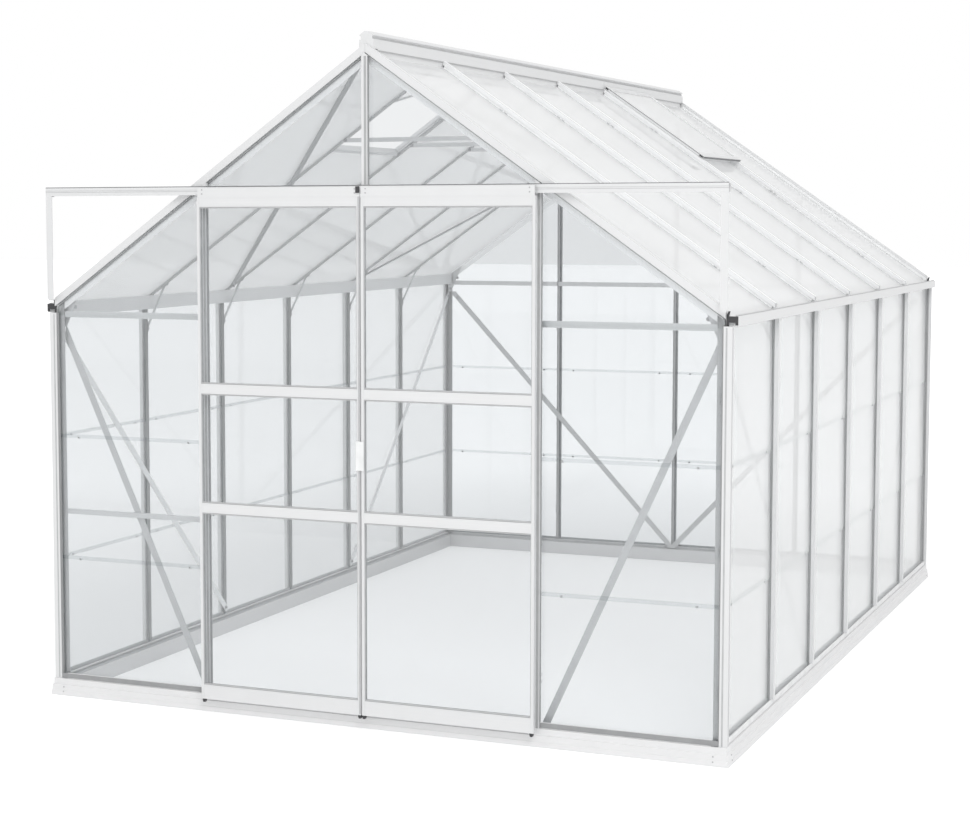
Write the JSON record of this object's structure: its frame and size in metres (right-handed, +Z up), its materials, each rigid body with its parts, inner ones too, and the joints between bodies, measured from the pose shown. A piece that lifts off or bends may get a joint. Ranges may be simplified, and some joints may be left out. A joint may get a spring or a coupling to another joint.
{
  "type": "greenhouse",
  "caption": "Walk-in greenhouse with a pitched roof, sliding front doors on an outside track and roof vents beside the ridge.",
  "frame": {"origin": "bottom centre of the bounding box, on the ground", "axes": "+X across the width, to the right when facing the doors; +Y along the length, away from the doors; +Z up"},
  "size_m": [2.57, 3.83, 2.38],
  "materials": {
    "mill_aluminium": "satin mill finish extrusions",
    "clear_glass": "clear horticultural glass, 3 mm",
    "black_plastic": "moulded black plastic",
    "white_plastic": "moulded pale plastic"
  },
  "bodies": {
    "greenhouse": {"base_sides": "mill_aluminium", "base_ends": "mill_aluminium", "base_corners": "mill_aluminium", "sills": "mill_aluminium", "corner_posts": "mill_aluminium", "left_wall_bars": "mill_aluminium", "right_wall_bars": "mill_aluminium", "eave_beams": "mill_aluminium", "gutters": "mill_aluminium", "gutter_caps": "black_plastic", "rakes": "mill_aluminium", "front_gable_bars": "mill_aluminium", "rear_gable_bars": "mill_aluminium", "gable_cross_bars": "mill_aluminium", "ridge": "mill_aluminium", "left_roof_bars": "mill_aluminium", "right_roof_bars": "mill_aluminium", "collar_ties": "mill_aluminium", "knee_braces": "mill_aluminium", "side_braces": "mill_aluminium", "gable_braces": "mill_aluminium", "roof_braces": "mill_aluminium", "gusset_plates": "mill_aluminium", "vent_sills": "mill_aluminium", "vent_side_rails": "mill_aluminium", "vent_end_rails": "mill_aluminium", "vent_glass": "clear_glass", "door_track": "mill_aluminium", "track_struts": "mill_aluminium", "left_wall_glass": "clear_glass", "right_wall_glass": "clear_glass", "left_roof_glass": "clear_glass", "right_roof_glass": "clear_glass", "front_gable_glass": "clear_glass", "rear_gable_glass": "clear_glass"},
    "left_door": {"left_door_stiles": "mill_aluminium", "left_door_rails": "mill_aluminium", "left_door_glass": "clear_glass", "left_door_handle": "white_plastic", "left_door_buffer": "black_plastic", "left_door_rollers": "black_plastic"},
    "right_door": {"right_door_stiles": "mill_aluminium", "right_door_rails": "mill_aluminium", "right_door_glass": "clear_glass", "right_door_rollers": "black_plastic"}
  },
  "joints": [
    {"name": "left_door_slide", "type": "slide", "parent": "greenhouse", "child": "left_door", "axis": [-1, 0, 0], "range_m": [0, 0.585]},
    {"name": "right_door_slide", "type": "slide", "parent": "greenhouse", "child": "right_door", "axis": [1, 0, 0], "range_m": [0, 0.585]}
  ]
}
